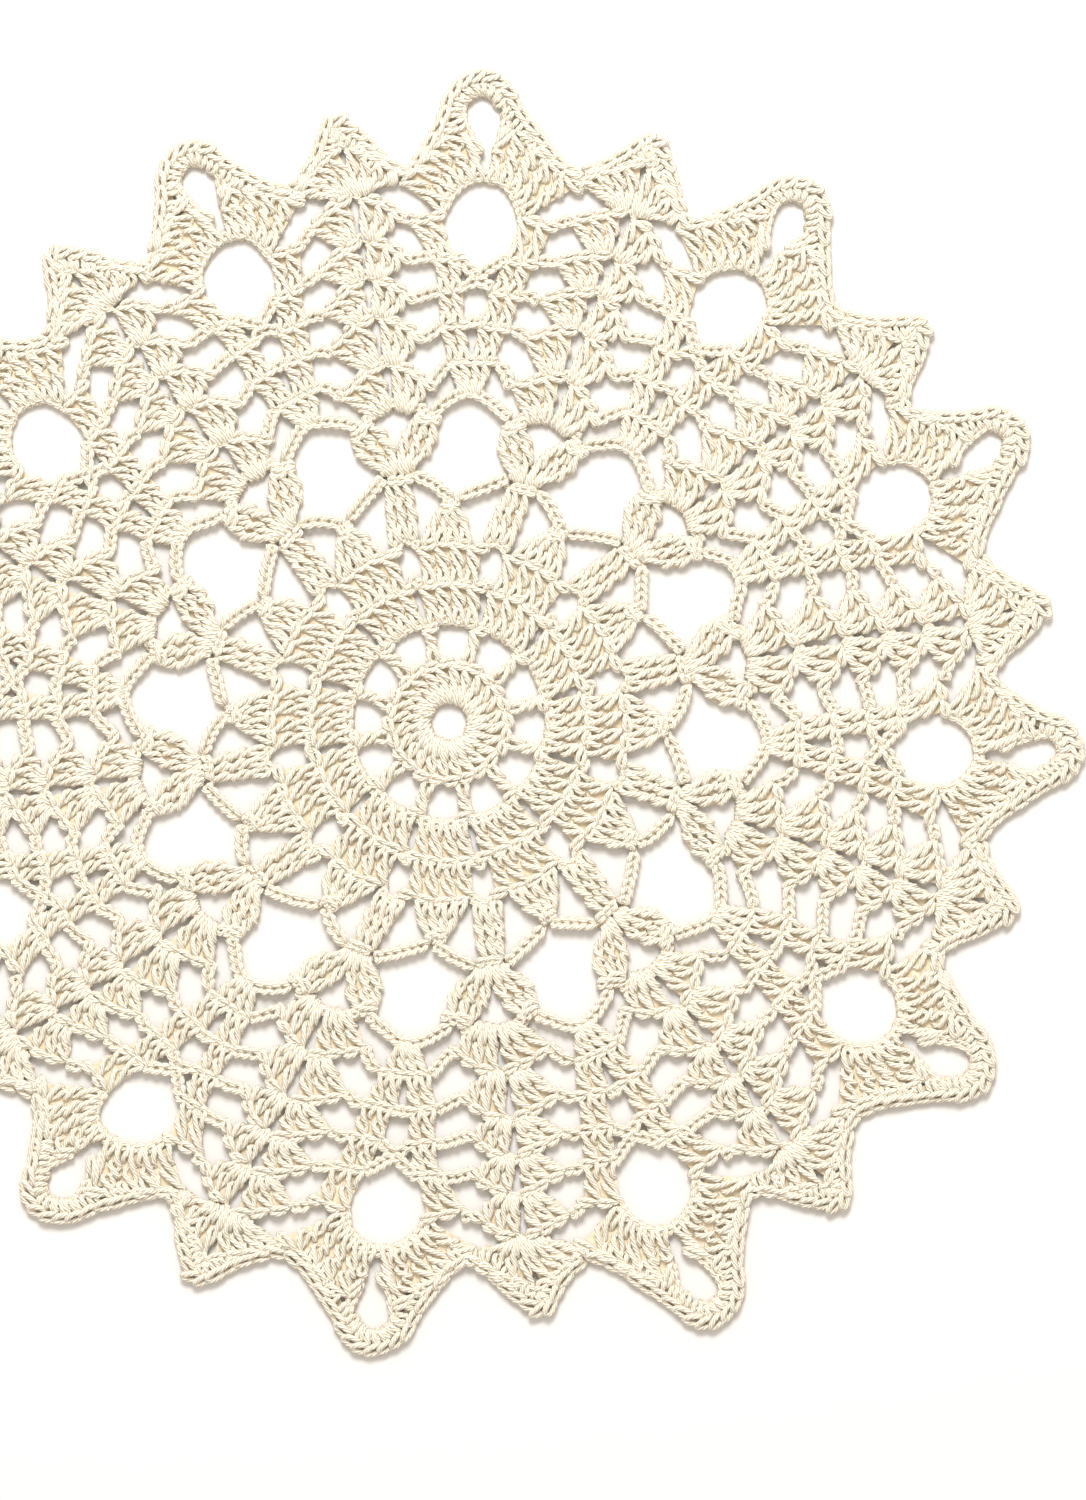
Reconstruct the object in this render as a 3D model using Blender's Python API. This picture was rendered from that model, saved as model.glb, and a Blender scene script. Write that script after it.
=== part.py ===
"""Crocheted lace doily, lying flat: one sheet with twelve large points and twelve small ones.

The lace is charted once, for one of twelve repeats. Every place in the chart is given by a
turn in degrees, clockwise seen from above, from the middle of its column of stitches, and by
a distance from the centre. The repeats are then set out by tables of how far each column
drifts round and how far it reaches, because handmade lace is never quite regular.

Units are metres, +Z is up, and the sheet's underside lies on z = 0.
"""

from collections import namedtuple
from math import cos, pi, radians, sin

import bmesh
import bpy

REPEATS = 12
REPEAT_TURN = 360.0 / REPEATS
THICKNESS = 0.0024
MM = 0.001
TIP_RADIUS = 129.0
CENTRE_HOLE_RADIUS = 3.4
CENTRE_HOLE_POINTS = 12
SQUARENESS = 0.82

# How far a column of stitches has turned when it reaches each distance from the centre.
SwirlRow = namedtuple("SwirlRow", "radius turn")
SWIRL = [
    SwirlRow(35.0, -0.4),
    SwirlRow(48.0, 1.6),
    SwirlRow(59.0, 3.4),
    SwirlRow(80.0, 3.1),
    SwirlRow(99.0, 4.1),
    SwirlRow(111.0, 4.4),
]

# The distances at which the tables of columns below are given.
INNER, MIDDLE, OUTER, TIP = 33.0, 56.0, 97.0, 124.0
STILL = 12.0
OUTER_SHARE = 0.75

# A large point's column: its drift in degrees at the four distances, its reach in millimetres
# at the ring of big holes and at the tip, and the size of its side windows and of its tip loop.
PointRow = namedtuple("PointRow", "inner middle outer tip ring reach left right loop")
POINT_COLUMNS = [
    PointRow(0.8, 0.5, -0.1, -1.2, 0.4, 0.2, 0.92, 0.90, 0.80),
    PointRow(0.2, -0.2, 0.1, -0.1, 0.0, 0.0, 0.90, 0.90, 0.92),
    PointRow(0.3, -0.8, -0.4, -1.4, -0.5, -0.8, 0.86, 0.90, 1.05),
    PointRow(1.8, 0.3, -0.5, -1.4, -1.2, -3.4, 1.02, 1.00, 0.95),
    PointRow(3.1, 2.6, 0.9, -0.4, 0.5, -0.2, 1.14, 1.08, 1.20),
    PointRow(3.4, 2.7, 2.3, 1.6, 0.5, 1.8, 1.06, 1.00, 1.00),
    PointRow(3.2, 3.9, 3.4, 3.0, -0.4, -2.8, 1.06, 1.06, 1.10),
    PointRow(3.0, 4.2, 4.6, 5.9, 0.4, -1.6, 1.10, 0.98, 1.05),
    PointRow(3.4, 3.4, 3.3, 4.6, 2.5, -1.9, 0.86, 0.90, 1.00),
    PointRow(3.0, 1.7, 2.0, 3.3, 0.3, -2.5, 0.94, 0.90, 0.92),
    PointRow(2.5, 1.8, 0.8, 1.6, -0.1, -2.8, 0.94, 1.02, 0.95),
    PointRow(2.0, 1.8, 0.7, 0.9, 0.9, -2.8, 1.00, 1.06, 1.00),
]

# A small point's column of shells, between each large point and the next.
ShellRow = namedtuple("ShellRow", "inner middle outer tip ring reach")
SHELL_COLUMNS = [
    ShellRow(0.3, 0.6, 0.2, 0.0, 0.0, 0.0),
    ShellRow(0.1, 0.4, -0.1, 0.6, 0.0, 0.1),
    ShellRow(0.8, -0.2, -0.4, -0.6, -1.4, -2.3),
    ShellRow(2.8, 0.8, 0.0, -1.2, -1.9, -4.7),
    ShellRow(3.4, 2.8, 1.8, 1.2, 0.8, 0.6),
    ShellRow(3.4, 2.9, 2.5, 1.5, -0.8, -4.4),
    ShellRow(3.0, 5.2, 4.5, 5.0, -0.7, -1.2),
    ShellRow(3.1, 4.7, 4.2, 5.2, -0.3, -1.2),
    ShellRow(3.6, 1.6, 2.2, 3.6, 0.4, -1.8),
    ShellRow(2.4, 1.7, 1.5, 2.1, -0.7, -1.2),
    ShellRow(2.6, 2.0, 0.8, 0.3, -0.1, -0.9),
    ShellRow(1.3, 1.8, 0.6, -0.3, 1.0, -1.2),
]

# The openings of one repeat, in millimetres and degrees. A positive lean tips an opening's
# outer end anticlockwise, and a positive taper narrows that end. The last name says which of a
# large point's sizes it follows.
Opening = namedtuple("Opening", "turn radius width height lean taper points follows")
OPENINGS = {
    "ring window": Opening(2.9, 16.5, 7.3, 5.8, 0.0, 0.0, 10, None),
    "square window": Opening(15.0, 33.4, 4.3, 4.9, 8.0, 0.0, 8, None),
    "gap before triangle": Opening(-8.3, 42.2, 4.2, 8.2, 6.0, -0.15, 8, None),
    "gap after triangle": Opening(7.4, 42.3, 3.8, 7.6, -15.0, -0.10, 8, None),
    "big hole": Opening(0.2, 54.3, 13.2, 19.4, 0.0, -0.16, 12, None),
    "petal window": Opening(15.3, 59.4, 6.8, 6.0, 0.0, -0.25, 8, None),
    "pineapple hole": Opening(0.2, 83.4, 3.5, 6.0, 0.0, 0.0, 8, None),
    "diamond": Opening(0.0, 98.3, 12.8, 16.6, 0.0, 0.0, 10, None),
    "tip loop": Opening(0.0, 119.9, 6.0, 9.2, 0.0, 0.0, 8, "loop"),
    "left window 1": Opening(-5.4, 65.4, 5.6, 4.1, 25.0, 0.0, 8, "left"),
    "left window 2": Opening(-7.0, 72.7, 7.8, 4.7, 32.0, 0.0, 8, "left"),
    "left window 3": Opening(-7.7, 80.4, 8.4, 4.5, 15.0, 0.0, 8, "left"),
    "left window 4": Opening(-8.2, 87.8, 8.8, 5.6, 8.0, 0.0, 8, "left"),
    "left window 5": Opening(-8.9, 95.6, 7.5, 5.8, 8.0, 0.0, 8, "left"),
    "left slit": Opening(-9.6, 104.0, 2.9, 7.2, 22.0, 0.0, 8, "left"),
    "right window 1": Opening(6.3, 65.0, 4.2, 5.8, 20.0, 0.0, 8, "right"),
    "right window 2": Opening(7.7, 72.7, 6.6, 4.9, -32.0, 0.0, 8, "right"),
    "right window 3": Opening(8.2, 80.6, 7.6, 4.8, -22.0, 0.0, 8, "right"),
    "right window 4": Opening(8.5, 88.4, 7.8, 5.8, -10.0, 0.0, 8, "right"),
    "right window 5": Opening(9.0, 96.6, 7.4, 5.6, 0.0, 0.0, 8, "right"),
    "right slit": Opening(10.1, 105.0, 4.8, 7.2, -18.0, 0.25, 8, "right"),
}

# The sheet's edge in one repeat, clockwise from the notch before the large point to just before
# the next notch. The turns of the small point's places are from its own column.
EdgePlace = namedtuple("EdgePlace", "turn radius")
LARGE_POINT_EDGE = [
    EdgePlace(-8.6, 111.4),
    EdgePlace(-7.1, 113.8),
    EdgePlace(-5.8, 117.0),
    EdgePlace(-4.7, 120.2),
    EdgePlace(-4.0, 123.4),
    EdgePlace(-2.9, 126.4),
    EdgePlace(-1.5, 128.4),
    EdgePlace(0.1, TIP_RADIUS),
    EdgePlace(1.8, 127.5),
    EdgePlace(2.9, 124.8),
    EdgePlace(3.9, 121.8),
    EdgePlace(5.1, 118.8),
    EdgePlace(6.3, 116.0),
    EdgePlace(7.4, 114.2),
    EdgePlace(8.6, 113.2),
]
SMALL_POINT_EDGE = [
    EdgePlace(-4.9, 114.4),
    EdgePlace(-3.5, 116.6),
    EdgePlace(-2.4, 119.2),
    EdgePlace(-1.4, 121.8),
    EdgePlace(0.0, 123.0),
    EdgePlace(1.4, 121.6),
    EdgePlace(2.8, 118.8),
    EdgePlace(3.9, 115.8),
    EdgePlace(5.0, 112.8),
]


def between(rows, distance):
    """Read a value at a distance from (distance, value) rows, straight between them."""
    if distance <= rows[0][0]:
        return rows[0][1]
    for (low, low_value), (high, high_value) in zip(rows, rows[1:]):
        if distance <= high:
            share = (distance - low) / (high - low)
            return low_value + share * (high_value - low_value)
    return rows[-1][1]


def column_rows():
    """All columns in order, large point and small point in turn."""
    rows = []
    for point, shell in zip(POINT_COLUMNS, SHELL_COLUMNS):
        rows.append(point)
        rows.append(shell)
    return rows


def drift_of(row, radius):
    """How far a column has drifted round and how far it reaches beyond the chart, at a radius."""
    turn = between([(STILL, 0.0), (INNER, row.inner), (MIDDLE, row.middle),
                    (OUTER, row.outer), (TIP, row.tip)], radius)
    reach = between([(INNER, 0.0), (MIDDLE, row.ring), (OUTER, OUTER_SHARE * row.reach),
                     (TIP, row.reach)], radius)
    return turn, reach


def laid_out(turn, radius):
    """A charted place as x and y in metres, with the swirl and the columns' drift."""
    rows = column_rows()
    step = 360.0 / len(rows)
    position = turn / step
    first = int(position // 1)
    share = position - first
    share = share * share * (3.0 - 2.0 * share)
    turn_a, reach_a = drift_of(rows[first % len(rows)], radius)
    turn_b, reach_b = drift_of(rows[(first + 1) % len(rows)], radius)
    turned = turn + between(SWIRL, radius) + turn_a + share * (turn_b - turn_a)
    reached = radius + reach_a + share * (reach_b - reach_a)
    return (reached * MM * sin(radians(turned)), reached * MM * cos(radians(turned)))


def rounded(value):
    """Push a cosine or sine outward, so that an opening is squarer than an ellipse."""
    size = abs(value) ** SQUARENESS
    return size if value > 0 else -size


def opening_outline(opening, middle_turn, size):
    """One opening's points, anticlockwise about its own middle."""
    lean = radians(opening.lean)
    places = []
    for step in range(opening.points):
        angle = 2.0 * pi * (step + 0.5) / opening.points
        across = 0.5 * size * opening.width * rounded(cos(angle))
        along = 0.5 * size * opening.height * rounded(sin(angle))
        across *= 1.0 - opening.taper * sin(angle)
        side = across * cos(lean) - along * sin(lean)
        out = across * sin(lean) + along * cos(lean)
        radius = opening.radius + out
        turn = middle_turn + opening.turn + side / radius * 180.0 / pi
        places.append(laid_out(turn, radius))
    return places


def edge_outline():
    """The sheet's outer edge, once round."""
    places = []
    for repeat in range(REPEATS):
        large = repeat * REPEAT_TURN
        small = large + 0.5 * REPEAT_TURN
        for place in LARGE_POINT_EDGE:
            places.append(laid_out(large + place.turn, place.radius))
        for place in SMALL_POINT_EDGE:
            places.append(laid_out(small + place.turn, place.radius))
    return places


def centre_hole_outline():
    """The round hole that the first ring of stitches is worked into."""
    places = []
    for step in range(CENTRE_HOLE_POINTS):
        places.append(laid_out(360.0 * step / CENTRE_HOLE_POINTS, CENTRE_HOLE_RADIUS))
    return places


def all_openings():
    """Every opening's outline, repeat by repeat."""
    outlines = [centre_hole_outline()]
    for repeat, row in enumerate(POINT_COLUMNS):
        for opening in OPENINGS.values():
            size = getattr(row, opening.follows) if opening.follows else 1.0
            outlines.append(opening_outline(opening, repeat * REPEAT_TURN, size))
    return outlines


def add_loop(curve, places, middle):
    """Add one closed outline to the flat curve, moved so that the middle is at the origin."""
    spline = curve.splines.new("POLY")
    spline.points.add(len(places) - 1)
    for point, (x, y) in zip(spline.points, places):
        point.co = (x - middle[0], y - middle[1], 0.0, 1.0)
    spline.use_cyclic_u = True


def cotton_material():
    """Undyed cotton thread."""
    material = bpy.data.materials.new("cotton_thread")
    material.use_nodes = True
    shader = material.node_tree.nodes["Principled BSDF"]
    shader.inputs["Base Color"].default_value = (0.88, 0.83, 0.70, 1.0)
    shader.inputs["Roughness"].default_value = 0.8
    shader.inputs["Metallic"].default_value = 0.0
    return material


def lace_sheet(collection):
    """The doily as one flat sheet, cut through at its openings."""
    edge = edge_outline()
    xs = [place[0] for place in edge]
    ys = [place[1] for place in edge]
    middle = (0.5 * (min(xs) + max(xs)), 0.5 * (min(ys) + max(ys)))
    curve = bpy.data.curves.new("lace_outline", "CURVE")
    curve.dimensions = "2D"
    curve.fill_mode = "BOTH"
    curve.extrude = 0.5 * THICKNESS
    add_loop(curve, edge, middle)
    for outline in all_openings():
        add_loop(curve, outline, middle)
    flat = bpy.data.objects.new("lace_outline", curve)
    collection.objects.link(flat)
    bpy.context.view_layer.update()
    evaluated = flat.evaluated_get(bpy.context.evaluated_depsgraph_get())
    mesh = bpy.data.meshes.new_from_object(evaluated)
    sheet = bpy.data.objects.new("lace_doily", mesh)
    bpy.data.objects.remove(flat)
    return sheet


def weld_and_raise(mesh):
    """Join the caps to the walls and stand the sheet on z = 0."""
    weld_distance = 0.00001
    work = bmesh.new()
    work.from_mesh(mesh)
    bmesh.ops.remove_doubles(work, verts=work.verts, dist=weld_distance)
    bmesh.ops.translate(work, verts=work.verts, vec=(0.0, 0.0, 0.5 * THICKNESS))
    bmesh.ops.recalc_face_normals(work, faces=work.faces)
    work.to_mesh(mesh)
    work.free()


def main():
    for old in list(bpy.data.objects):
        bpy.data.objects.remove(old)
    collection = bpy.data.collections.new("lace_doily")
    bpy.context.scene.collection.children.link(collection)
    sheet = lace_sheet(collection)
    weld_and_raise(sheet.data)
    sheet.data.materials.append(cotton_material())
    collection.objects.link(sheet)


main()
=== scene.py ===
from collections import namedtuple
from math import cos, hypot, pi, radians, sin
from random import Random

import bmesh
import bpy
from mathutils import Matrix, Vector


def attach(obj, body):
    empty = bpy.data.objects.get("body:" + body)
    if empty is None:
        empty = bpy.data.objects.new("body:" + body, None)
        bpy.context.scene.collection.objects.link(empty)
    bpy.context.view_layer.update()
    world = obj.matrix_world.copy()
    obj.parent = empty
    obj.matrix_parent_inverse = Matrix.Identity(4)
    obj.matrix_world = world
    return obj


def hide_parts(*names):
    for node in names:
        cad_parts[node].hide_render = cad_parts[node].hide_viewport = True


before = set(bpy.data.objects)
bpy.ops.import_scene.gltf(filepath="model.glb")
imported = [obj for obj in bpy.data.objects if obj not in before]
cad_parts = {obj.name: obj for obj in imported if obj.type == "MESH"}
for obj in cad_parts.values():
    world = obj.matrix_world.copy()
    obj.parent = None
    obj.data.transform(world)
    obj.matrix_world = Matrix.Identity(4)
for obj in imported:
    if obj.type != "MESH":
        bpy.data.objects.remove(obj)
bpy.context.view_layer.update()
mm = 0.001
degrees = 180.0 / pi

# The chart of one repeat. A place is a turn in degrees, clockwise from the middle of a large
# point's column, and a distance from the centre in millimetres. A small point's column is at 15.
chart = {
    "repeats": 12,
    "turn": 30.0,
    "smallPoint": 15.0,
    "swirl": [(35.0, -0.4), (48.0, 1.6), (59.0, 3.4), (80.0, 3.1), (99.0, 4.1), (111.0, 4.4)],
    "still": 12.0,  # no drift inside this distance
    "inner": 33.0,
    "middle": 56.0,
    "outer": 97.0,
    "tip": 124.0,
    "outerShare": 0.75,
}

# How far each column drifts round (degrees) and reaches out (millimetres).
Column = namedtuple("Column", "inner middle outer tip ring reach")
columns = [
    Column(0.8, 0.5, -0.1, -1.2, 0.4, 0.2), Column(0.3, 0.6, 0.2, 0.0, 0.0, 0.0),
    Column(0.2, -0.2, 0.1, -0.1, 0.0, 0.0), Column(0.1, 0.4, -0.1, 0.6, 0.0, 0.1),
    Column(0.3, -0.8, -0.4, -1.4, -0.5, -0.8), Column(0.8, -0.2, -0.4, -0.6, -1.4, -2.3),
    Column(1.8, 0.3, -0.5, -1.4, -1.2, -3.4), Column(2.8, 0.8, 0.0, -1.2, -1.9, -4.7),
    Column(3.1, 2.6, 0.9, -0.4, 0.5, -0.2), Column(3.4, 2.8, 1.8, 1.2, 0.8, 0.6),
    Column(3.4, 2.7, 2.3, 1.6, 0.5, 1.8), Column(3.4, 2.9, 2.5, 1.5, -0.8, -4.4),
    Column(3.2, 3.9, 3.4, 3.0, -0.4, -2.8), Column(3.0, 5.2, 4.5, 5.0, -0.7, -1.2),
    Column(3.0, 4.2, 4.6, 5.9, 0.4, -1.6), Column(3.1, 4.7, 4.2, 5.2, -0.3, -1.2),
    Column(3.4, 3.4, 3.3, 4.6, 2.5, -1.9), Column(3.6, 1.6, 2.2, 3.6, 0.4, -1.8),
    Column(3.0, 1.7, 2.0, 3.3, 0.3, -2.5), Column(2.4, 1.7, 1.5, 2.1, -0.7, -1.2),
    Column(2.5, 1.8, 0.8, 1.6, -0.1, -2.8), Column(2.6, 2.0, 0.8, 0.3, -0.1, -0.9),
    Column(2.0, 1.8, 0.7, 0.9, 0.9, -2.8), Column(1.3, 1.8, 0.6, -0.3, 1.0, -1.2),
]

# The lace's edge in one repeat, clockwise; a small point's turns are from its own column.
largePointEdge = [
    (-8.6, 111.4), (-7.1, 113.8), (-5.8, 117.0), (-4.7, 120.2), (-4.0, 123.4), (-2.9, 126.4),
    (-1.5, 128.4), (0.1, 129.0), (1.8, 127.5), (2.9, 124.8), (3.9, 121.8), (5.1, 118.8),
    (6.3, 116.0), (7.4, 114.2), (8.6, 113.2),
]
smallPointEdge = [
    (-4.9, 114.4), (-3.5, 116.6), (-2.4, 119.2), (-1.4, 121.8), (0.0, 123.0), (1.4, 121.6),
    (2.8, 118.8), (3.9, 115.8), (5.0, 112.8),
]


def between(rows, distance):
    if distance <= rows[0][0]:
        return rows[0][1]
    for (low, lowValue), (high, highValue) in zip(rows, rows[1:]):
        if distance <= high:
            return lowValue + (distance - low) / (high - low) * (highValue - lowValue)
    return rows[-1][1]


def driftOf(column, radius):
    turn = between([(chart["still"], 0.0), (chart["inner"], column.inner),
                    (chart["middle"], column.middle), (chart["outer"], column.outer),
                    (chart["tip"], column.tip)], radius)
    reach = between([(chart["inner"], 0.0), (chart["middle"], column.ring),
                     (chart["outer"], chart["outerShare"] * column.reach),
                     (chart["tip"], column.reach)], radius)
    return turn, reach


def onChart(turn, radius):
    # a charted place in millimetres, with the swirl and the columns' drift
    position = turn / chart["smallPoint"]
    first = int(position // 1)
    share = position - first
    share = share * share * (3.0 - 2.0 * share)
    turnA, reachA = driftOf(columns[first % len(columns)], radius)
    turnB, reachB = driftOf(columns[(first + 1) % len(columns)], radius)
    turned = radians(turn + between(chart["swirl"], radius) + turnA + share * (turnB - turnA))
    reached = radius + reachA + share * (reachB - reachA)
    return (reached * sin(turned), reached * cos(turned))


def edgePlaces():
    places = []
    for repeat in range(chart["repeats"]):
        large = repeat * chart["turn"]
        small = large + chart["smallPoint"]
        places += [onChart(large + turn, radius) for turn, radius in largePointEdge]
        places += [onChart(small + turn, radius) for turn, radius in smallPointEdge]
    return places


edge = edgePlaces()
middle = tuple(0.5 * (min(p[axis] for p in edge) + max(p[axis] for p in edge)) for axis in (0, 1))


def laidOut(turn, radius):
    # a charted place in the frame, in millimetres
    x, y = onChart(turn, radius)
    return (x - middle[0], y - middle[1])


class Line:
    # a smooth line through places, read by its share of the length
    def __init__(self, places, smooth=6):
        self.points = [places[0]]
        for index in range(len(places) - 1):
            before = places[max(index - 1, 0)]
            here = places[index]
            there = places[index + 1]
            after = places[min(index + 2, len(places) - 1)]
            for step in range(1, smooth + 1):
                t = step / smooth
                self.points.append(tuple(
                    0.5 * (2.0 * b + (c - a) * t + (2.0 * a - 5.0 * b + 4.0 * c - d) * t * t
                           + (3.0 * b - a - 3.0 * c + d) * t * t * t)
                    for a, b, c, d in zip(before, here, there, after)))
        self.lengths = [0.0]
        for one, two in zip(self.points, self.points[1:]):
            self.lengths.append(self.lengths[-1] + hypot(two[0] - one[0], two[1] - one[1]))
        self.length = self.lengths[-1]

    def at(self, share):
        wanted = min(max(share, 0.0), 1.0) * self.length
        index = 0
        while index < len(self.points) - 2 and self.lengths[index + 1] < wanted:
            index += 1
        span = max(self.lengths[index + 1] - self.lengths[index], 1e-9)
        part = (wanted - self.lengths[index]) / span
        one, two = self.points[index], self.points[index + 1]
        return (one[0] + part * (two[0] - one[0]), one[1] + part * (two[1] - one[1]))

    def heading(self, share, reach=0.7):
        step = min(0.02, reach / self.length)
        back, ahead = self.at(share - step), self.at(share + step)
        size = max(hypot(ahead[0] - back[0], ahead[1] - back[1]), 1e-9)
        return ((ahead[0] - back[0]) / size, (ahead[1] - back[1]) / size)


# The yarn's path through each kind of stitch. Side is in stitch widths, along in stitch heights,
# extra and height in millimetres.
Turn = namedtuple("Turn", "side along extra height")


def tallStitch(wraps):
    # down over the post with its wraps, round the base, up again behind them and once round
    # the link on top
    step = 1.0 / (wraps + 1)
    turns = [Turn(-0.50, 1.00, -0.30, 1.20)]
    for index in range(wraps):
        top = 1.0 - index * step
        turns += [
            Turn(-0.32, top - 0.24 * step, 0.00, 1.75),
            Turn(0.04, top - 0.56 * step, 0.00, 2.05),
            Turn(0.36, top - 0.88 * step, 0.00, 1.65),
            Turn(0.28, top - 1.14 * step, 0.00, 0.90),
            Turn(-0.34, top - 1.24 * step, 0.00, 0.95),
        ]
    turns += [
        Turn(-0.20, 0.55 * step, 0.00, 1.65),
        Turn(-0.36, 0.08 * step, 0.00, 2.00),
        Turn(-0.30, 0.00, -0.75, 1.40),
        Turn(0.00, 0.00, -1.00, 0.76),
        Turn(0.28, 0.00, -0.65, 1.35),
        Turn(0.34, 0.20 * step, 0.00, 2.00),
    ]
    for index in range(wraps):
        low = (index + 1) * step
        turns += [
            Turn(0.06, low - 0.20 * step, 0.00, 1.90),
            Turn(-0.26, low + 0.24 * step, 0.00, 1.35),
        ]
    turns += [
        Turn(-0.30, 1.00, 0.00, 1.35),
        Turn(0.08, 1.00, -0.25, 2.10),
        Turn(0.54, 1.00, -0.30, 1.85),
        Turn(0.80, 1.00, 0.30, 1.25),
        Turn(0.54, 1.00, 0.92, 1.85),
        Turn(0.02, 1.00, 0.62, 1.75),
    ]
    return turns


wrapHeight = 3.6  # a stitch has one more wrap for each such stretch of its height
crowdedWidth = 1.7  # strands narrower than this ride on each other
lowest = 0.76  # the yarn's middle is never lower than this
# A short stitch of the edging, with the link that lies along the edge.
shortStitch = [
    Turn(-0.45, 0.95, 0.00, 1.25),
    Turn(-0.30, 0.55, 0.00, 1.80),
    Turn(-0.24, 0.10, 0.00, 1.90),
    Turn(-0.20, 0.00, -0.60, 1.25),
    Turn(0.05, 0.00, -0.80, 0.76),
    Turn(0.22, 0.00, -0.50, 1.25),
    Turn(0.26, 0.15, 0.00, 1.90),
    Turn(0.12, 0.70, 0.00, 1.70),
    Turn(0.10, 1.00, 0.00, 1.60),
    Turn(0.42, 1.00, 0.02, 2.15),
    Turn(0.95, 1.00, 0.30, 2.15),
    Turn(1.24, 1.00, 0.80, 1.65),
    Turn(1.00, 1.00, 1.40, 1.35),
    Turn(0.40, 1.00, 1.50, 1.35),
    Turn(-0.08, 1.00, 1.20, 1.05),
]
# A chain link: its step along the chain in links, and its side and height in millimetres.
Link = namedtuple("Link", "step side height")
chainLink = [
    Link(0.00, -0.10, 0.85),
    Link(0.42, -0.48, 1.60),
    Link(0.96, -0.90, 1.95),
    Link(1.36, -0.52, 1.20),
    Link(1.36, 0.52, 1.20),
    Link(0.96, 0.90, 1.95),
    Link(0.42, 0.48, 1.60),
    Link(0.10, 0.10, 0.90),
    Link(0.55, 0.00, 1.15),
]
chainMiddle = 1.2
chainPitch = 1.8
handSlip = 0.2
chainRoll = 0.42  # how far a chain may roll over, in radians
rollKept = 0.6
rollAdded = 0.5
tuckedSide = 0.75
tuckedHeight = 0.6
tuckedLift = 0.25
# How far the yarn strays from its path, in millimetres.
stray = {"lift": 0.14, "sway": 0.16, "along": 0.13, "across": 0.10, "height": 0.10, "link": 0.05}
# The yarn wound round a bound head.
winding = {"points": 9, "perHalfTurn": 2.7, "start": 0.5, "step": 0.2, "below": 1.5,
           "height": 1.45, "rise": 0.85}

# What a round is made of: stitches set from a base line to a top line, and chains. A tucked
# chain lies low, under the stitches of the next round, and a bound group has its head wound.
Group = namedtuple("Group", "count base top belly bound")
Chain = namedtuple("Chain", "places tucked")


def group(count, base, top, belly=0.0, bound=False):
    return Group(count, base, top, belly, bound)


def chain(*places, tucked=False):
    return Chain(places, tucked)


unevenness = Random(11)


def wobble(size):
    return unevenness.uniform(-size, size)


def stitchPoints(foot, head, lowSide, highSide, belly, bow, pattern=None):
    # one stitch from its foot to its head; the sides are its width along the base and top lines
    axis = head - foot
    length = axis.length
    axis = axis / length
    across = Vector((axis.y, -axis.x))
    lowOut = Vector((-lowSide.y, lowSide.x)).normalized()
    highOut = Vector((-highSide.y, highSide.x)).normalized()
    if pattern is None:
        pattern = tallStitch(max(round(length / wrapHeight) - 1, 1))
    lift = wobble(stray["lift"])
    sway = wobble(stray["sway"])
    points = []
    for turn in pattern:
        share = min(max(turn.along, 0.0), 1.0)
        swell = belly * sin(pi * share)
        width = lowSide.lerp(highSide, share) + across * swell
        width *= min(width.length / crowdedWidth, 1.0)
        spot = foot.lerp(head, turn.along + wobble(stray["along"]) / length)
        strayed = bow * swell + sway + wobble(stray["across"])
        spot = spot + across * strayed + width * turn.side
        spot = spot + lowOut.lerp(highOut, share) * turn.extra
        height = turn.height + lift + wobble(stray["height"])
        points.append((spot.x, spot.y, max(height, lowest)))
    return points


def chainPoints(line, tucked=False):
    points = []
    count = max(round(line.length / chainPitch), 1)
    pitch = 1.0 / count
    roll = wobble(chainRoll)
    for index in range(count):
        roll = rollKept * roll + wobble(rollAdded * chainRoll)
        for link in chainLink:
            share = (index + link.step) * pitch
            over = max(share - 1.0, 0.0) * line.length
            x, y = line.at(share)
            hx, hy = line.heading(share)
            x, y = x + hx * over, y + hy * over
            rise = link.height - chainMiddle
            side = link.side * cos(roll) + rise * sin(roll) + wobble(stray["link"])
            height = chainMiddle + rise * cos(roll) - link.side * sin(roll) + wobble(stray["link"])
            if tucked:
                side, height = tuckedSide * side, tuckedHeight * height + tuckedLift
            points.append((x + hy * side, y - hx * side, max(height, lowest)))
    return points


def headWinding(foot, head, width):
    # a turn and a half of yarn round the head of a bound group
    axis = (head - foot).normalized()
    across = Vector((axis.y, -axis.x))
    points = []
    for step in range(winding["points"]):
        angle = pi * (step / winding["perHalfTurn"] + winding["start"])
        along = winding["step"] * step - winding["below"]
        spot = head + axis * along + across * (0.5 * width * cos(angle))
        height = winding["height"] + winding["rise"] * sin(angle)
        points.append((spot.x, spot.y, max(height, lowest)))
    return points


groups = []  # where every group lies, for the plate with painted shade under its strands


def uneven(start, places):
    # charted places of the repeat that starts at this turn, a little off as in handwork
    laid = [laidOut(start + turn, radius) for turn, radius in places]
    return Line([(x + wobble(handSlip), y + wobble(handSlip)) for x, y in laid])


def groupPoints(item, start):
    base = uneven(start, item.base)
    top = uneven(start, item.top)
    lowWidth, highWidth = base.length / item.count, top.length / item.count
    groups.append((base, top, item.count, item.belly))
    points = []
    for index in range(item.count):
        share = (index + 0.5) / item.count
        foot, head = Vector(base.at(share)), Vector(top.at(share))
        lowSide = Vector(base.heading(share)) * lowWidth
        highSide = Vector(top.heading(share)) * highWidth
        bow = item.count * (share - 0.5)
        points += stitchPoints(foot, head, lowSide, highSide, item.belly, bow)
    if item.bound:
        points += headWinding(Vector(base.at(0.5)), Vector(top.at(0.5)), top.length)
    return points


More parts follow.
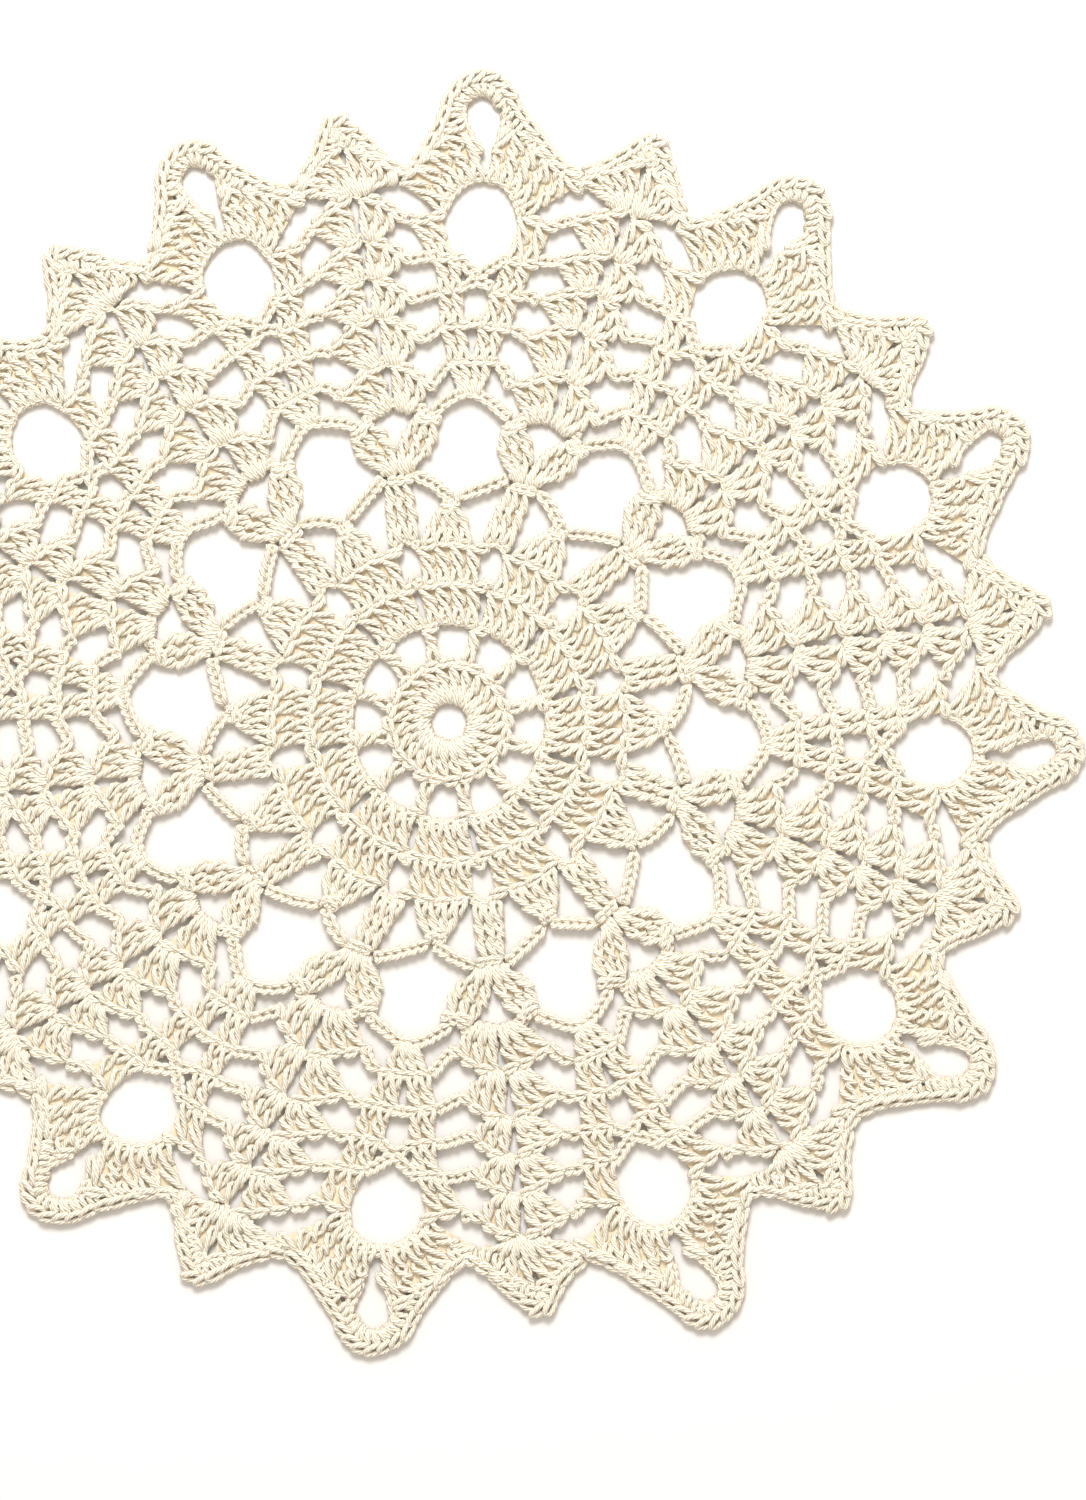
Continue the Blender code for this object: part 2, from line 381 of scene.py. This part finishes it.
def roundPoints(items):
    # one round's yarn, worked once round from the first repeat
    points = []
    for repeat in range(chart["repeats"]):
        start = repeat * chart["turn"]
        for item in items:
            if isinstance(item, Group):
                points += groupPoints(item, start)
            else:
                points += chainPoints(uneven(start, item.places), item.tucked)
    return points


# The yarn, made by Geometry Nodes along its path.
yarn = {"radius": 0.60 * mm, "sides": 5, "steps": 2}


def addNode(tree, kind, settings=None, values=None):
    node = tree.nodes.new(kind)
    for name, value in (settings or {}).items():
        setattr(node, name, value)
    for name, value in (values or {}).items():
        socket = node.inputs[name]
        value = value.socket if isinstance(value, Sum) else value
        if isinstance(value, bpy.types.NodeSocket):
            tree.links.new(value, socket)
        else:
            socket.default_value = value
    return node


def yarnTree():
    tree = bpy.data.node_groups.new("yarnAlongPath", "GeometryNodeTree")
    face = tree.interface
    face.new_socket("Path", in_out="INPUT", socket_type="NodeSocketGeometry")
    face.new_socket("Yarn Radius", in_out="INPUT", socket_type="NodeSocketFloat")
    face.new_socket("Sides", in_out="INPUT", socket_type="NodeSocketInt")
    face.new_socket("Steps", in_out="INPUT", socket_type="NodeSocketInt")
    face.new_socket("Cotton", in_out="INPUT", socket_type="NodeSocketMaterial")
    face.new_socket("Yarn", in_out="OUTPUT", socket_type="NodeSocketGeometry")
    given = addNode(tree, "NodeGroupInput").outputs
    path = addNode(tree, "GeometryNodeMeshToCurve", values={"Mesh": given["Path"]})
    bent = addNode(tree, "GeometryNodeCurveSplineType", {"spline_type": "CATMULL_ROM"},
                   {"Curve": path.outputs["Curve"]})
    fine = addNode(tree, "GeometryNodeSetSplineResolution",
                   values={"Geometry": bent.outputs["Curve"], "Resolution": given["Steps"]})
    sides = addNode(tree, "GeometryNodeCurvePrimitiveCircle", {"mode": "RADIUS"},
                    {"Resolution": given["Sides"], "Radius": given["Yarn Radius"]})
    place = addNode(tree, "GeometryNodeInputPosition")
    around = addNode(tree, "GeometryNodeCaptureAttribute", {"domain": "POINT"},
                     {"Geometry": sides.outputs["Curve"]})
    around.capture_items.new("VECTOR", "Around")
    tree.links.new(place.outputs["Position"], around.inputs["Around"])
    parameter = addNode(tree, "GeometryNodeSplineParameter")
    lengthwise = addNode(tree, "GeometryNodeCaptureAttribute", {"domain": "POINT"},
                         {"Geometry": fine.outputs["Geometry"]})
    lengthwise.capture_items.new("FLOAT", "Lengthwise")
    tree.links.new(parameter.outputs["Length"], lengthwise.inputs["Lengthwise"])
    tube = addNode(tree, "GeometryNodeCurveToMesh",
                   values={"Curve": lengthwise.outputs["Geometry"],
                           "Profile Curve": around.outputs["Geometry"], "Fill Caps": True})
    parts = addNode(tree, "ShaderNodeSeparateXYZ", values={"Vector": around.outputs["Around"]})
    kept = addNode(tree, "ShaderNodeCombineXYZ",
                   values={"X": parts.outputs["X"], "Y": parts.outputs["Y"],
                           "Z": lengthwise.outputs["Lengthwise"]})
    stored = addNode(tree, "GeometryNodeStoreNamedAttribute",
                     {"data_type": "FLOAT_VECTOR", "domain": "POINT"},
                     {"Geometry": tube.outputs["Mesh"], "Name": "yarnTwist",
                      "Value": kept.outputs["Vector"]})
    rounded = addNode(tree, "GeometryNodeSetShadeSmooth",
                      values={"Geometry": stored.outputs["Geometry"]})
    real = addNode(tree, "GeometryNodeRealizeInstances",
                   values={"Geometry": rounded.outputs["Geometry"]})
    painted = addNode(tree, "GeometryNodeSetMaterial",
                      values={"Geometry": real.outputs["Geometry"], "Material": given["Cotton"]})
    addNode(tree, "NodeGroupOutput", values={"Yarn": painted.outputs["Geometry"]})
    return tree


def setInput(modifier, name, value):
    for item in modifier.node_group.interface.items_tree:
        if item.item_type == "SOCKET" and item.in_out == "INPUT" and item.name == name:
            modifier[item.identifier] = value


def plainMesh(source, name):
    # the evaluated shape as a mesh piece, with the modifier gone
    bpy.context.view_layer.update()
    evaluated = source.evaluated_get(bpy.context.evaluated_depsgraph_get())
    mesh = bpy.data.meshes.new_from_object(evaluated)
    mesh.name = name
    piece = bpy.data.objects.new(name, mesh)
    bpy.context.scene.collection.objects.link(piece)
    source.modifiers.clear()
    bpy.data.objects.remove(source)
    return piece


pathLengths = []


def makeYarn(name, points, tree, cotton):
    vertices = [(x * mm, y * mm, z * mm) for x, y, z in points]
    edges = [(index, index + 1) for index in range(len(points) - 1)]
    pathLengths.append(sum((Vector(vertices[one]) - Vector(vertices[two])).length
                           for one, two in edges))
    mesh = bpy.data.meshes.new(name + "Path")
    mesh.from_pydata(vertices, edges, [])
    source = bpy.data.objects.new(name + "Path", mesh)
    bpy.context.scene.collection.objects.link(source)
    modifier = source.modifiers.new("yarn", "NODES")
    modifier.node_group = tree
    setInput(modifier, "Yarn Radius", yarn["radius"])
    setInput(modifier, "Sides", yarn["sides"])
    setInput(modifier, "Steps", yarn["steps"])
    setInput(modifier, "Cotton", cotton)
    piece = plainMesh(source, name)
    print(name, len(piece.data.polygons), "faces")
    return piece


class Sum:
    # a shader value that Python's own signs can work on
    def __init__(self, tree, socket):
        self.tree = tree
        self.socket = socket

    def worked(self, operation, *others):
        node = addNode(self.tree, "ShaderNodeMath", {"operation": operation}, dict(enumerate(others)))
        return Sum(self.tree, node.outputs["Value"])

    def __add__(self, other):
        return self.worked("ADD", self, other)

    def __radd__(self, other):
        return self.worked("ADD", other, self)

    def __sub__(self, other):
        return self.worked("SUBTRACT", self, other)

    def __rsub__(self, other):
        return self.worked("SUBTRACT", other, self)

    def __mul__(self, other):
        return self.worked("MULTIPLY", self, other)

    def __rmul__(self, other):
        return self.worked("MULTIPLY", other, self)

    def __truediv__(self, other):
        return self.worked("DIVIDE", self, other)

    def sine(self):
        return self.worked("SINE", self)

    def turnFrom(self, other):
        return self.worked("ARCTAN2", self, other)


# Where the colour sockets of a Mix node are.
mixShare = 0
mixColours = (6, 7)
mixResult = 2


class Finish:
    # a material being made
    def __init__(self, name):
        self.material = bpy.data.materials.new(name)
        self.material.use_nodes = True
        self.tree = self.material.node_tree
        self.shader = self.tree.nodes["Principled BSDF"]

    def node(self, kind, settings=None, values=None):
        return addNode(self.tree, kind, settings, values)

    def value(self, socket):
        return Sum(self.tree, socket)

    def mixed(self, share, one, two):
        node = self.node("ShaderNodeMix", {"data_type": "RGBA"},
                         {mixShare: share, mixColours[0]: one, mixColours[1]: two})
        return node.outputs[mixResult]

    def fixed(self, **values):
        for name, value in values.items():
            self.shader.inputs[name.replace("_", " ")].default_value = value

    def feed(self, name, socket):
        socket = socket.socket if isinstance(socket, Sum) else socket
        self.tree.links.new(socket, self.shader.inputs[name])


# The yarn's colours: lit and shaded are one cream with painted light and painted shade, and the ridge
# highlight is a painted highlight on the plies.
cottonLook = {
    "lit": (0.965, 0.915, 0.785, 1.0),
    "shaded": (0.69, 0.51, 0.27, 1.0),
    "ridgeHighlight": (0.99, 0.98, 0.93, 1.0),
    "plies": 5.0,
    "perMetre": 5600.0,  # how fast the plies turn along the yarn
    "roughness": 0.82,
}


def heightShare(finish, low, high):
    # 0 at the low height and 1 at the high one, in millimetres above the floor
    place = finish.node("ShaderNodeTexCoord")
    parts = finish.node("ShaderNodeSeparateXYZ", values={"Vector": place.outputs["Object"]})
    share = finish.node("ShaderNodeMapRange", {"clamp": True, "interpolation_type": "SMOOTHSTEP"},
                        {"Value": parts.outputs["Z"], "From Min": low * mm, "From Max": high * mm})
    return finish.value(share.outputs["Result"]), place


def yarnCotton():
    finish = Finish("undyedCottonYarn")
    twist = finish.node("ShaderNodeAttribute", {"attribute_name": "yarnTwist"})
    parts = finish.node("ShaderNodeSeparateXYZ", values={"Vector": twist.outputs["Vector"]})
    across = finish.value(parts.outputs["X"])
    upward = finish.value(parts.outputs["Y"])
    lengthwise = finish.value(parts.outputs["Z"])
    turned = upward.turnFrom(across)
    phase = turned * cottonLook["plies"] + lengthwise * cottonLook["perMetre"]
    ridge = phase.sine() * 0.5 + 0.5
    high, place = heightShare(finish, 0.5, 2.1)
    cloudy = finish.node("ShaderNodeTexNoise", values={"Vector": place.outputs["Object"],
                                                       "Scale": 95.0, "Detail": 3.0})
    fibres = finish.node("ShaderNodeTexNoise", values={"Vector": place.outputs["Object"],
                                                       "Scale": 3800.0, "Detail": 2.0})
    # painted shade: the yarn goes from the shaded to the lit colour with its height, darker where it
    # lies low between strands
    body = finish.mixed(high, cottonLook["shaded"], cottonLook["lit"])
    # painted highlight on the plies' ridges, mixed with cloudy tone that differs at random
    toneAndRidgeHighlight = finish.value(cloudy.outputs["Fac"]) * 0.3 + ridge * 0.5
    body = finish.mixed(toneAndRidgeHighlight, body, cottonLook["ridgeHighlight"])
    # painted shade in the grooves between the plies
    grooveShade = (1.0 - ridge) * (1.0 - ridge) * 0.75
    body = finish.mixed(grooveShade, body, cottonLook["shaded"])
    finish.feed("Base Color", body)
    grain = finish.value(fibres.outputs["Fac"])
    bump = finish.node("ShaderNodeBump", values={"Strength": 0.9, "Distance": 0.2 * mm,
                                                 "Height": ridge + grain * 0.5})
    finish.feed("Normal", bump.outputs["Normal"])
    finish.fixed(Roughness=cottonLook["roughness"], Sheen_Weight=0.25, Sheen_Roughness=0.5,
                 Specular_IOR_Level=0.25)
    return finish.material


def groundShadeCotton():
    finish = Finish("cottonAndPaintedShadeBetweenStrands")
    high, place = heightShare(finish, 0.5, 1.1)
    strands = finish.node("ShaderNodeTexNoise", values={"Vector": place.outputs["Object"],
                                                        "Scale": 900.0, "Detail": 3.0})
    patch = finish.value(strands.outputs["Fac"])
    # painted shade: the plate is patched at random between the shaded and lit yarn colours, so the
    # gaps between strands show tan shade
    body = finish.mixed(patch, cottonLook["shaded"], cottonLook["lit"])
    finish.feed("Base Color", body)
    bump = finish.node("ShaderNodeBump", values={"Strength": 0.6, "Distance": 0.3 * mm,
                                                 "Height": patch + high * 0.2})
    finish.feed("Normal", bump.outputs["Normal"])
    finish.fixed(Roughness=0.9, Sheen_Weight=0.2)
    return finish.material


tree = yarnTree()
cotton = yarnCotton()

# The rounds of one repeat, from the ring outwards, each in the order in which it is worked.
ringRound = [group(2, [(0, 5.0), (30, 5.0)], [(0, 11.6), (30, 11.6)])]
barRound = [
    group(1, [(12.6, 13.2), (23.4, 13.2)], [(14.4, 18.8), (21.4, 18.8)]),
    chain((18.6, 19.7), (26.0, 20.2), (38.0, 20.2), (47.2, 19.7), tucked=True),
]
firstSolid = [
    group(4, [(-11.6, 20.1), (2.0, 20.4), (16.0, 20.1)], [(-13.2, 27.0), (0.5, 27.4), (14.2, 27.0)]),
    chain((14.0, 27.6), (15.6, 28.8), (17.2, 27.8)),
]
secondSolid = [
    group(4, [(-11.2, 28.2), (11.6, 28.2)], [(-11.2, 34.8), (0.0, 35.2), (11.4, 34.8)]),
    chain((11.2, 35.5), (15.0, 37.2), (18.8, 35.6), tucked=True),
]
blockRound = [
    group(4, [(-9.4, 35.9), (-1.0, 36.2), (7.4, 35.9)], [(-3.2, 42.6), (1.2, 43.0)], 0.3, True),
    chain((0.8, 44.2), (6.0, 46.6), (11.0, 49.0)),
    group(3, [(10.4, 37.3), (15.0, 37.8), (19.6, 37.3)], [(12.2, 48.0), (17.8, 48.0)], 0.2),
    chain((19.0, 49.0), (24.0, 46.8), (28.4, 44.4)),
]
petalRound = [
    group(3, [(11.6, 50.8), (14.9, 50.0)], [(6.4, 58.8), (10.2, 61.0)], 1.35, True),
    chain((9.2, 61.8), (15.0, 63.2), (20.8, 61.8), tucked=True),
    group(3, [(15.1, 50.0), (18.4, 50.8)], [(19.8, 61.0), (23.6, 58.8)], 1.35, True),
    chain((22.6, 60.9), (25.0, 62.6), (27.6, 64.2), (30.0, 64.9), (32.4, 64.2), (34.8, 62.3),
          (37.2, 60.9)),
]

# A small point's shell, in millimetres across its column and out from its base or its next row.
shellShape = {
    "leftBase": [(-4.9, -0.9), (-0.8, 0.2)],
    "leftTop": [(-10.4, -5.2), (-7.0, -3.6), (-3.6, -2.0), (-1.1, -1.4)],
    "over": [(-1.0, -0.6), (0.3, 0.2), (1.6, -0.7)],
    "rightBase": [(0.5, 0.1), (3.9, -1.2)],
    "rightTop": [(1.7, -1.6), (5.0, -2.6), (7.4, -4.6), (9.4, -6.6)],
    "belly": 0.4,
}


def besideColumn(places, radius):
    return [(chart["smallPoint"] + across / radius * degrees, radius + out) for across, out in places]


def shellHalves(base, ahead):
    # three stitches, a chain link over the small gap, and three more; with their outer ends
    left = group(3, besideColumn(shellShape["leftBase"], base),
                 besideColumn(shellShape["leftTop"], ahead), shellShape["belly"])
    over = chain(*besideColumn(shellShape["over"], ahead), tucked=True)
    right = group(3, besideColumn(shellShape["rightBase"], base),
                  besideColumn(shellShape["rightTop"], ahead), shellShape["belly"])
    return left, over, right, left.top[0], right.top[-1]


Shell = namedtuple("Shell", "base ahead")
shells = [Shell(63.0, 72.5), Shell(72.8, 82.4), Shell(82.7, 90.4), Shell(90.7, 98.4),
          Shell(98.7, 107.4)]

left, over, right, leftEnd, rightEnd = shellHalves(*shells[0])
fanRound = [
    group(4, [(-1.7, 65.4), (1.7, 65.4)], [(-3.6, 71.0), (3.5, 71.2)], 0.2),
    chain((4.1, 71.2), (5.8, 69.6), leftEnd),
    left, over, right,
    chain(rightEnd, (23.9, 68.0), (26.0, 70.6)),
]
left, over, right, leftEnd, rightEnd = shellHalves(*shells[1])
pairRound = [
    group(2, [(-3.8, 72.0), (-0.3, 72.0)], [(-4.8, 78.0), (-0.7, 78.3)]),
    chain((-0.9, 78.9), (1.2, 79.0)),
    group(2, [(0.3, 72.0), (3.8, 72.0)], [(0.9, 78.3), (5.2, 78.0)]),
    chain((5.4, 78.3), (6.6, 78.3), leftEnd),
    left, over, right,
    chain(rightEnd, (23.4, 76.7), (25.2, 78.1)),
]
left, over, right, leftEnd, rightEnd = shellHalves(*shells[2])
holeRound = [
    group(2, [(-4.7, 78.8), (-1.1, 78.8)], [(-4.9, 85.0), (-1.4, 85.4)]),
    chain((-1.5, 86.0), (0.2, 87.3), (1.9, 86.0)),
    group(2, [(1.5, 78.8), (5.5, 78.8)], [(1.9, 85.4), (6.0, 85.0)]),
    chain((6.2, 85.5), (7.2, 85.8), leftEnd),
    left, over, right,
    chain(rightEnd, (22.8, 84.8), (24.8, 85.4)),
]
left, over, right, leftEnd, rightEnd = shellHalves(*shells[3])
diamondRound = [
    group(2, [(-5.0, 85.8), (-1.8, 85.8)], [(-5.7, 91.6), (-2.5, 91.8)]),
    chain((-2.9, 92.0), (0.0, 88.3)),
    chain((0.0, 88.3), (3.2, 92.0)),
    group(2, [(2.1, 85.8), (6.1, 85.8)], [(2.9, 91.8), (6.7, 91.6)]),
    chain((6.9, 92.5), leftEnd),
    left, over, right,
    chain(rightEnd, (22.2, 92.2), (24.2, 92.3)),
]
left, over, right, leftEnd, rightEnd = shellHalves(*shells[4])
archRound = [
    group(2, [(-6.5, 92.5), (-3.2, 92.4)], [(-8.7, 99.3), (-4.8, 100.3)]),
    chain((-4.8, 101.0), (-3.8, 104.4), (-1.8, 107.2), (0.2, 108.0), (2.1, 107.0), (3.6, 104.3),
          (4.1, 101.3), tucked=True),
    group(2, [(3.3, 92.4), (6.9, 92.5)], [(4.0, 100.5), (7.8, 99.6)]),
    chain((8.0, 100.8), leftEnd),
    left, over, right,
    chain(rightEnd, (21.4, 100.6)),
]
pointRound = [
    group(5, [(-5.7, 101.6), (-4.2, 104.4), (-2.1, 107.3), (-0.1, 108.1)],
          [(-9.7, 107.6), (-7.0, 111.2), (-4.6, 114.8), (-2.8, 117.0), (-0.9, 113.2)]),
    chain((-1.3, 114.4), (-1.9, 118.2), (-2.1, 121.6), (-1.5, 124.2), (0.0, 125.4), (1.3, 124.4),
          (2.1, 121.8), (2.0, 118.6), (1.4, 114.8), tucked=True),
    group(5, [(0.3, 108.1), (2.3, 107.0), (3.9, 104.2), (5.1, 101.6)],
          [(0.9, 113.2), (2.8, 117.2), (4.4, 115.2), (6.2, 112.4), (9.2, 108.4)]),
    chain((9.0, 109.0), (9.5, 110.0)),
    group(4, [(12.5, 107.9), (14.9, 107.7)], [(9.4, 110.0), (11.6, 113.2), (14.6, 116.6)], 0.4),
    chain((14.4, 117.4), (15.0, 118.3), (15.7, 117.4)),
    group(4, [(15.1, 107.7), (17.5, 107.9)], [(15.4, 116.6), (18.6, 113.0), (21.2, 109.2)], 0.4),
]

roundNames = {
    "yarn_ring": ringRound,
    "yarn_bars": barRound,
    "yarn_first_solid": firstSolid,
    "yarn_second_solid": secondSolid,
    "yarn_blocks": blockRound,
    "yarn_petals": petalRound,
    "yarn_fans": fanRound,
    "yarn_pairs": pairRound,
    "yarn_holes": holeRound,
    "yarn_diamonds": diamondRound,
    "yarn_arches": archRound,
    "yarn_points": pointRound,
}
pieces = [makeYarn(name, roundPoints(items), tree, cotton) for name, items in roundNames.items()]

# The edging: short stitches over the last round, each with its link along the edge.
edging = {"pitch": 2.9, "outerInset": 2.1, "innerInset": 4.0}
edgeLine = Line([(x - middle[0], y - middle[1]) for x, y in edge + edge[:1]], 4)


def inFromEdge(share, inset, reach=0.7):
    # a place this far in from the edge, and the way along the edge there
    x, y = edgeLine.at(share)
    along = Vector(edgeLine.heading(share, reach))
    return Vector((x, y)) + Vector((along.y, -along.x)) * inset, along


def edgingPoints():
    count = round(edgeLine.length / edging["pitch"])
    points = []
    for index in range(count):
        share = (index + 0.5) / count
        head, along = inFromEdge(share, edging["outerInset"])
        foot, along = inFromEdge(share, edging["innerInset"])
        side = along * edging["pitch"]
        points += stitchPoints(foot, head, side * 0.9, side, 0.0, 0.0, shortStitch)
    return points


pieces.append(makeYarn("yarn_edging", edgingPoints(), tree, cotton))
print("yarn", round(sum(pathLengths), 1), "m")

# The middle under the strands: a thin plate for each group, and one under the edging. The plates
# stand in for the yarn's hidden turns and are coloured partly with painted shade, which shows through
# the gaps between strands.
ground = {
    "low": 0.78 * mm,
    "high": 0.95 * mm,
    "inset": 0.15,
    "lift": 0.2,
    "edgeRows": 480,
    "edgeOuter": 1.2,
    "edgeInner": 3.7,
    "edgeReach": 5.0,
    "stagger": 0.04 * mm,  # plates that meet lie at slightly different heights
}


def groupRows(base, top, count, belly):
    rows = []
    for index in range(count + 1):
        share = index / count
        low, high = Vector(base.at(share)), Vector(top.at(share))
        axis = (high - low).normalized()
        across = Vector((axis.y, -axis.x))
        inset = ground["inset"] * (1.0 - 2.0 * share)
        bow = count * (share - 0.5) * belly
        row = []
        for step in (0.0, 0.5, 1.0):
            spot = low.lerp(high, step) + axis * ground["lift"] * (1.0 - 2.0 * step)
            row.append(spot + across * (inset + bow * sin(pi * step)))
        rows.append(row)
    return rows


def edgeRows():
    rows = []
    for index in range(ground["edgeRows"]):
        share = index / ground["edgeRows"]
        rows.append([inFromEdge(share, ground[side], ground["edgeReach"])[0]
                     for side in ("edgeInner", "edgeOuter")])
    return rows


def makeGround(cottonBetween):
    work = bmesh.new()
    for index, rows in enumerate([edgeRows()] + [groupRows(*group) for group in groups]):
        level = 1 + index % 4 if index else 0
        top = ground["high"] + ground["stagger"] * level
        made = [[work.verts.new((spot.x * mm, spot.y * mm, top)) for spot in row] for row in rows]
        if index == 0:
            made.append(made[0])  # the strip under the edging is closed
        for one, two in zip(made, made[1:]):
            for step in range(len(one) - 1):
                work.faces.new((one[step], one[step + 1], two[step + 1], two[step]))
    flatArea = sum(face.calc_area() for face in work.faces)
    under = bmesh.ops.extrude_face_region(work, geom=work.faces[:], use_keep_orig=True)
    moved = [item for item in under["geom"] if isinstance(item, bmesh.types.BMVert)]
    bmesh.ops.translate(work, verts=moved, vec=(0.0, 0.0, ground["low"] - ground["high"]))
    bmesh.ops.recalc_face_normals(work, faces=work.faces)
    mesh = bpy.data.meshes.new("lace_ground_shade")
    work.to_mesh(mesh)
    work.free()
    mesh.materials.append(cottonBetween)
    piece = bpy.data.objects.new("lace_ground_shade", mesh)
    bpy.context.scene.collection.objects.link(piece)
    return piece, flatArea


lace, flatArea = makeGround(groundShadeCotton())
print("ground", len(lace.data.polygons), "faces,", round(flatArea, 5), "square metres")

# The floor and the light, as soft and white as over a plain sheet of paper.
studio = {
    "viewHeight": 297.0 * mm,  # what the frame shows, top to bottom
    "aim": (18.59 * mm, -7.40 * mm),
    "distance": 1.2,
    "sensor": 36.0,
    "floorSize": 6.0,
    "floorColour": (0.80, 0.775, 0.752, 1.0),
    "sky": 0.80,
    "skyColour": (1.0, 0.95, 0.885, 1.0),
    "lamp": 25.5,
    "lampColour": (0.97, 1.0, 1.02),
    "lampPlace": (-0.08, 1.02, 1.30),
    "lampSize": 0.7,
}


def makeFloor():
    half = 0.5 * studio["floorSize"]
    mesh = bpy.data.meshes.new("studioFloor")
    mesh.from_pydata([(-half, -half, 0), (half, -half, 0), (half, half, 0), (-half, half, 0)], [],
                     [(0, 1, 2, 3)])
    floor = bpy.data.objects.new("studioFloor", mesh)
    bpy.context.scene.collection.objects.link(floor)
    finish = Finish("paperWhite")
    finish.fixed(Base_Color=studio["floorColour"], Roughness=0.9, Specular_IOR_Level=0.1)
    mesh.materials.append(finish.material)
    return floor


def makeStudio():
    scene = bpy.context.scene
    world = bpy.data.worlds.new("softWhite")
    world.use_nodes = True
    sky = world.node_tree.nodes["Background"]
    sky.inputs["Color"].default_value = studio["skyColour"]
    sky.inputs["Strength"].default_value = studio["sky"]
    scene.world = world
    lamp = bpy.data.lights.new("softLamp", "AREA")
    lamp.shape = "DISK"
    lamp.size = studio["lampSize"]
    lamp.energy = studio["lamp"]
    lamp.color = studio["lampColour"]
    lampObject = bpy.data.objects.new("softLamp", lamp)
    scene.collection.objects.link(lampObject)
    lampObject.location = studio["lampPlace"]
    lampObject.rotation_euler = (-Vector(studio["lampPlace"])).to_track_quat("-Z", "Y").to_euler()
    camera = bpy.data.cameras.new("overhead")
    camera.sensor_width = studio["sensor"]
    camera.lens = studio["sensor"] * studio["distance"] / studio["viewHeight"]
    camera.clip_start = 0.01
    camera.clip_end = 20.0
    cameraObject = bpy.data.objects.new("overhead", camera)
    scene.collection.objects.link(cameraObject)
    cameraObject.location = (studio["aim"][0], studio["aim"][1], studio["distance"])
    scene.camera = cameraObject
    scene.view_settings.view_transform = "Standard"


floor = makeFloor()
makeStudio()
print("studio ready")

for piece in [lace] + pieces:
    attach(piece, "root")
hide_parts("lace_doily")
